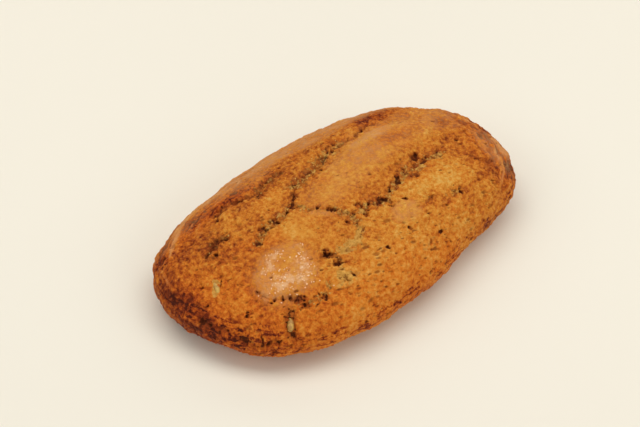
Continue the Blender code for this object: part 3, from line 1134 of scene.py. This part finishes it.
# %% The grain tree
GRAIN_SIZES = {
    "Grain height": 2.4 * MM,
    "Crumb height": 1.5 * MM,
    "Pit depth": 0.6 * MM,
    "Pore depth": 0.45 * MM,
    "Wrinkle height": 1.6 * MM,
}


def grain_tree():
    graph, size = start_tree("grain", dict.fromkeys(GRAIN_SIZES, "NodeSocketFloat"))
    place = graph.stored("place", vector=True)
    rough = grit(graph, place)
    # Grain is weaker on the smooth plates and under the painted sheen.
    still = graph.most(graph.stored("smooth") * 0.5, graph.stored("glaze") * 0.6)
    rise = grain_field(graph, place) * (1 - still) * size["Grain height"]
    rise = rise + wrinkle_field(graph) * size["Wrinkle height"]
    rise = rise + rough * graph.stored("torn") * size["Crumb height"]
    rise = rise - pit_field(graph, place, rough) * size["Pit depth"]
    rise = rise - pore_field(graph, place) * size["Pore depth"]
    rise = rise * (1 - graph.stored("under") * 0.8)
    normal = graph.node("GeometryNodeInputNormal")
    move = graph.node("ShaderNodeVectorMath", {"operation": "SCALE"}, {0: normal, "Scale": rise})
    values = {"Geometry": size["Mesh"], "Offset": move}
    return end_tree(graph, graph.node("GeometryNodeSetPosition", None, values), crust_look)


crust_mesh = run_tree("crust", crust_mesh, grain_tree(), GRAIN_SIZES)
grained = read(crust_mesh.vertices, "co", 3)
grained[:, 2] = np.maximum(grained[:, 2], cad_low.z)
set_points(crust_mesh, grained)
print("grained crust:", len(crust_mesh.vertices), "points")

# %% [markdown]
# ## A lighter base
#
# The box gave the flat base as many cells as the crown, which it doesn't need. Decimate, held to
# the base by a vertex group, thins it and leaves everything else as it is.

# %% Thin the base
BASE_FACES = 7000  # triangles left on the base
THINNED_WITHIN = 0.985  # share of the way from the base's middle to its edge


def unrolled_of(mesh):
    """Each point's place on the unrolled crust, and whether it is on the base."""
    rows = read(mesh.attributes["unrolled"].data, "vector", 3)
    return rows[:, :2], rows[:, 2] > 0.5


def thin_base(mesh):
    """The mesh with fewer, larger triangles on its base."""
    helper = linked("crust", mesh)
    group = helper.vertex_groups.new(name="base")
    place, under = unrolled_of(mesh)
    inner = np.flatnonzero(under & (np.hypot(*place.T) < THINNED_WITHIN))
    group.add(inner.tolist(), 1.0, "REPLACE")
    mesh.calc_loop_triangles()
    total = len(mesh.loop_triangles)
    modifier = helper.modifiers.new("thin", "DECIMATE")
    modifier.ratio = (total - 2 * CELLS[0] * CELLS[1] + BASE_FACES) / total
    modifier.vertex_group = "base"
    modifier.use_collapse_triangulate = True
    return taken_mesh(helper)


crust_mesh = thin_base(crust_mesh)
crust_mesh.calc_loop_triangles()
print("crust:", len(crust_mesh.loop_triangles), "triangles")

# %% [markdown]
# ## A flat map of the crust
#
# When the piece is exported its colours are baked onto one square picture. An automatic unwrap of
# such rough skin would break into thousands of scraps. The form already knows how to lie flat: the
# crown and sides unroll from the middle outwards, and the base is a second, smaller patch.

# %% Lay the crust out on the bake map
CROWN_PATCH = ((0.5, 0.66), (0.485, 0.325))  # middle and half sizes on the map
BASE_PATCH = ((0.31, 0.165), (0.29, 0.15))


def lay_out(mesh):
    """Puts every face on its patch of the map. The answer is how many lie on the base's patch."""
    layer = mesh.uv_layers.new(name="OFBake")
    corners = read(mesh.loops, "vertex_index", kind=np.int32)
    totals = read(mesh.polygons, "loop_total", kind=np.int32)
    place, under = unrolled_of(mesh)
    face = np.repeat(np.arange(len(totals)), totals)
    lying = np.bincount(face, weights=under[corners]) >= totals
    on_base = lying[face]
    flat = np.empty((len(corners), 2))
    for chosen, (patch_middle, half) in ((~on_base, CROWN_PATCH), (on_base, BASE_PATCH)):
        flat[chosen] = np.array(patch_middle) + place[corners][chosen] * np.array(half)
    layer.data.foreach_set("uv", flat.astype(np.float32).ravel())
    return int(lying.sum())


print("faces on the base patch:", lay_out(crust_mesh))

# %% [markdown]
# ## The crust takes the solid's place
#
# The dressed crust is one piece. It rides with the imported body, and it hides the plain solid.


# %% The crust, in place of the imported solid
def add_piece(name, mesh):
    """A finished piece at the origin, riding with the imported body."""
    mesh.name = name
    piece = linked(name, mesh)
    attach(piece, "root")
    return piece


crust_mesh.shade_smooth()
crust = add_piece("crust", crust_mesh)
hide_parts(NODE)
print("crust dressed")

# %% [markdown]
# ## Slivers of nut
#
# Two slivers of nut show at the skin. A sliver is cut lengthways with a knife, so it is a flat rod
# with blunt, uneven ends. A cube stretched into place would look machined, so each is a ring of
# points swept along a short bent line and roughened by noise. A tree of the crust's faces, which
# answers where a straight line meets them, tells how high the skin is under each, and which way it
# faces, so that the slivers lie half sunk in it.

# %% Two slivers, sunk in the crust
# Centre in plan, turn in degrees, length, width, thickness and how deep the middle lies.
SLIVERS = (
    ((-31.0, -22.1), 56, (4.2, 1.7, 1.3), 0.2),
    ((-41.3, -3.0), 78, (4.6, 1.5, 1.2), 0.5),
)
SLIVER_RINGS = 22
SLIVER_SIDES = 14
SLIVER_BEND = 0.25
SLIVER_BLUNTNESS = (3.2, 0.45)  # powers: the ends are blunter with a higher first one
SLIVER_ROUGHNESS = 0.12
FIRST_SLIVER_SEED = 3.0
PROBES = (-1.2, 0.0, 1.2)  # offsets along and across a sliver at which lines drop on to the skin
DROP_HEIGHT = 100.0
NUT = screen(200, 162, 74)
NUT_DARK = screen(160, 112, 44)


def sliver_points(size, seed):
    """A blunt rod along x, in millimetres, as rings from one tip to the other."""
    along = np.sin(np.linspace(-math.pi / 2, math.pi / 2, SLIVER_RINGS))
    turn = np.linspace(0, 2 * math.pi, SLIVER_SIDES, endpoint=False)
    girth = (1 - np.abs(along) ** SLIVER_BLUNTNESS[0]) ** SLIVER_BLUNTNESS[1]
    rings = np.empty((SLIVER_RINGS, SLIVER_SIDES, 3))
    rings[..., 0] = along[:, None] * size[0] / 2
    rings[..., 1] = girth[:, None] * np.cos(turn) * size[1] / 2 + SLIVER_BEND * along[:, None] ** 2
    rings[..., 2] = girth[:, None] * np.sin(turn) * size[2] / 2
    points = np.concatenate([rings[1:-1].reshape(-1, 3), rings[[0, -1], 0]])
    return points * (1 + SLIVER_ROUGHNESS * waves(points, 1.0, seed))[:, None]


def sliver_faces():
    """Faces round the rings, with a fan of triangles at each tip."""
    inner = SLIVER_RINGS - 2
    first_tip, last_tip = inner * SLIVER_SIDES, inner * SLIVER_SIDES + 1
    faces = []
    for side in range(SLIVER_SIDES):
        following = (side + 1) % SLIVER_SIDES
        for ring in range(inner - 1):
            here, there = ring * SLIVER_SIDES, (ring + 1) * SLIVER_SIDES
            faces.append((here + side, here + following, there + following, there + side))
        last = (inner - 1) * SLIVER_SIDES
        faces.append((following, side, first_tip))
        faces.append((last + side, last + following, last_tip))
    return faces


def laid_on(tree, points, plan, degrees, sunk):
    """Points moved on to the crust at a place in plan, lying along it and sunk by a depth."""
    along = Vector((math.cos(math.radians(degrees)), math.sin(math.radians(degrees)), 0))
    aside = Vector((-along.y, along.x, 0))
    hits = []
    for step in PROBES:
        for side_step in PROBES:
            start = Vector((*plan, DROP_HEIGHT)) + along * step + aside * side_step
            hits.append(tree.ray_cast(start * MM, Vector((0, 0, -1))))
    spot = sum((hit[0] for hit in hits), Vector()) / len(hits)
    up = sum((hit[1] for hit in hits), Vector()).normalized()
    length = (along - up * along.dot(up)).normalized()
    axes = np.array([length, up.cross(length), up])
    return points * MM @ axes + np.array(spot - up * sunk * MM)


def speckled_material(name, dark, light, constants, size=1.3 * MM, detail=2.0, stretch=(1, 1, 1)):
    """Two colours in fine speckles, for small things."""
    material, graph, shader = new_material(name, constants)
    place = graph.stretch(graph.node("ShaderNodeTexCoord", out="Object"), stretch)
    tone = graph.ease(graph.noise(place, size, detail, 0.6), -0.12, 0.12)
    graph.plug(graph.blend(tone, dark, light), shader.inputs["Base Color"])
    return material


crust_tree = BVHTree.FromPolygons(
    [vertex.co for vertex in crust_mesh.vertices], [face.vertices for face in crust_mesh.polygons]
)
points, faces = [], []
for order, (plan, degrees, size, sunk) in enumerate(SLIVERS):
    faces += [tuple(corner + len(points) for corner in face) for face in sliver_faces()]
    shape = sliver_points(size, FIRST_SLIVER_SEED + order)
    points += laid_on(crust_tree, shape, plan, degrees, sunk).tolist()
sliver_mesh = bpy.data.meshes.new("nut_slivers")
sliver_mesh.from_pydata(points, [], faces)
sliver_mesh.shade_smooth()
nut_look = speckled_material("nut", NUT_DARK, NUT, {"Roughness": 0.5}, 1.4 * MM, 3.0, (1, 1, 0.6))
sliver_mesh.materials.append(nut_look)
add_piece("nut_slivers", sliver_mesh)
print("slivers:", len(SLIVERS), "with", len(sliver_mesh.polygons), "faces")

# %% [markdown]
# ## Crumbs and grains of sugar
#
# Crumbs lie loose on the floors of the cracks, and sugar melted and set again on the blister as
# small bright grains. Both are far too many to place one by one. Geometry Nodes scatters points
# over the crust, as densely as a stored value says, puts a small body with few faces on each, turned
# and scaled at random, and makes real meshes of them at the end.


# %% Scatter trees
def scatter_tree(name, mask, body, material):
    """Bodies of a few faces strewn over the mesh where the stored value `mask` is high."""
    kinds = dict.fromkeys(("Density", "Smallest", "Largest"), "NodeSocketFloat")
    graph, size = start_tree(name, {**kinds, "Seed": "NodeSocketInt"})
    density = graph.stored(mask) * size["Density"]
    values = {"Mesh": size["Mesh"], "Density": density, "Seed": size["Seed"]}
    points = graph.node("GeometryNodeDistributePointsOnFaces", None, values)
    settings = {"data_type": "FLOAT_VECTOR"}
    turn = graph.node("FunctionNodeRandomValue", settings, {1: (2 * math.pi,) * 3, "Seed": 1})
    limits = {0: size["Smallest"], 1: size["Largest"], "Seed": 2}
    scale = graph.node("FunctionNodeRandomValue", settings, limits)
    values = {"Points": points, "Instance": body(graph), "Rotation": turn, "Scale": scale}
    return end_tree(graph, graph.node("GeometryNodeInstanceOnPoints", None, values), material)


def crumb_body(graph):
    """A lump of twenty faces, one metre across before it is scaled."""
    return graph.node("GeometryNodeMeshIcoSphere", None, {"Radius": 0.5, "Subdivisions": 1})


def sugar_body(graph):
    """A crystal's block, one metre along each side before it is scaled."""
    return graph.node("GeometryNodeMeshCube", None, {"Size": (1.0, 1.0, 1.0)})


def scatter(name, mask, body, look, sizes):
    """Strews one kind of body over the crust, as one piece."""
    tree = scatter_tree(name, mask, body, look)
    mesh = run_tree(name, crust_mesh.copy(), tree, sizes)
    mesh.shade_flat()
    add_piece(name, mesh)
    print(name, len(mesh.polygons), "faces")


# %% Scatter them, so many on each square metre of crust
CRUMB_SIZES = {"Density": 0.7e6, "Smallest": 0.3 * MM, "Largest": 0.75 * MM, "Seed": 5}
SUGAR_SIZES = {"Density": 0.9e6, "Smallest": 0.15 * MM, "Largest": 0.36 * MM, "Seed": 8}
dull = {"Roughness": 0.85, "Specular IOR Level": SPECULAR}
glassy = {"Roughness": 0.4, "Specular IOR Level": SPECULAR}
crumb_look = speckled_material("crumb", screen(150, 98, 42), screen(208, 160, 82), dull)
sugar_look = speckled_material("sugar", screen(230, 180, 128), screen(250, 220, 184), glassy)
scatter("crumbs", "crumbly", crumb_body, crumb_look, CRUMB_SIZES)
scatter("sugar_grains", "sugar", sugar_body, sugar_look, SUGAR_SIZES)

# %% [markdown]
# ## Floor
#
# The piece lies on a pale, plain surface. One large square does, since its edges are never seen.

# %% Floor
FLOOR_SIDE = 6.0
FLOOR_COLOUR = screen(236, 232, 220)


def make_floor():
    mesh = bmesh.new()
    bmesh.ops.create_grid(mesh, x_segments=1, y_segments=1, size=FLOOR_SIDE / 2)
    data = bpy.data.meshes.new("floor")
    mesh.to_mesh(data)
    mesh.free()
    look, _, _ = new_material("floor", {"Base Color": FLOOR_COLOUR, "Roughness": 0.7})
    data.materials.append(look)
    floor = linked("floor", data)
    floor.location.z = cad_low.z
    return floor


make_floor()
print("floor", FLOOR_SIDE, "m square")

# %% [markdown]
# ## Camera
#
# The camera looks down at about 52 degrees from the end with the blister, through a long lens, so
# that the piece lies slantwise and its far end hardly shrinks.

# %% Camera
AZIMUTH = math.radians(-34.26)
ELEVATION = math.radians(52)
CAMERA_DISTANCE = 410 * MM
LOOK_AT = Vector((-2.6, 6.5, 8.75)) * MM
LENS = 85.0


def heading(azimuth, elevation):
    """Unit vector from the object towards a viewer at that azimuth and elevation."""
    level = math.cos(elevation)
    return Vector((math.sin(azimuth) * level, -math.cos(azimuth) * level, math.sin(elevation)))


def aim(thing, target):
    thing.rotation_euler = (target - thing.location).to_track_quat("-Z", "Y").to_euler()


camera = linked("camera", bpy.data.cameras.new("camera"))
camera.data.lens = LENS
camera.data.clip_start = 0.01
camera.location = LOOK_AT + heading(AZIMUTH, ELEVATION) * CAMERA_DISTANCE
aim(camera, LOOK_AT)
bpy.context.scene.camera = camera
print("camera at", [round(part / MM) for part in camera.location], "mm")

# %% [markdown]
# ## Lights
#
# A wide soft box hangs almost overhead, a little behind the piece, and a long low light behind it
# draws a faint shine along the far side. Two lights at the sides and a very low one in front open
# the shadows, and a dim pale world fills in the rest. The shadow stays short and soft.

# %% Lights
WORLD_COLOUR = (1.0, 0.965, 0.90, 1.0)
WORLD_STRENGTH = 0.10
SOFT_WHITE = (1.0, 0.97, 0.92)
# Name, bearing from the camera's and elevation in degrees, distance and sides in metres, power
# in watts, colour.
LIGHTS = (
    ("softbox", 172, 78, 0.8, (1.2, 0.4), 5.2, SOFT_WHITE),
    ("window", 176, 38, 0.7, (1.8, 0.3), 1.5, SOFT_WHITE),
    ("left", -72, 40, 0.7, (0.8, 0.4), 1.4, SOFT_WHITE),
    ("right", 64, 36, 0.7, (0.8, 0.4), 1.5, SOFT_WHITE),
    ("fill", 0, 6, 1.2, (1.0, 0.12), 2.9, (1.0, 0.96, 0.90)),
)


def area_light(name, azimuth, elevation, distance, sides, power, colour):
    """A soft oblong light, aimed at the piece, placed by its bearing from the camera's."""
    lamp = bpy.data.lights.new(name, "AREA")
    lamp.shape = "RECTANGLE"
    lamp.size, lamp.size_y = sides
    lamp.energy = power
    lamp.color = colour
    light = linked(name, lamp)
    light.location = heading(AZIMUTH + math.radians(azimuth), math.radians(elevation)) * distance
    aim(light, Vector())


world = bpy.data.worlds.new("studio")
world.use_nodes = True
background = world.node_tree.nodes["Background"]
background.inputs["Color"].default_value = WORLD_COLOUR
background.inputs["Strength"].default_value = WORLD_STRENGTH
bpy.context.scene.world = world
for light in LIGHTS:
    area_light(*light)

bpy.context.scene.view_settings.view_transform = "Standard"
print("lights:", len(LIGHTS))
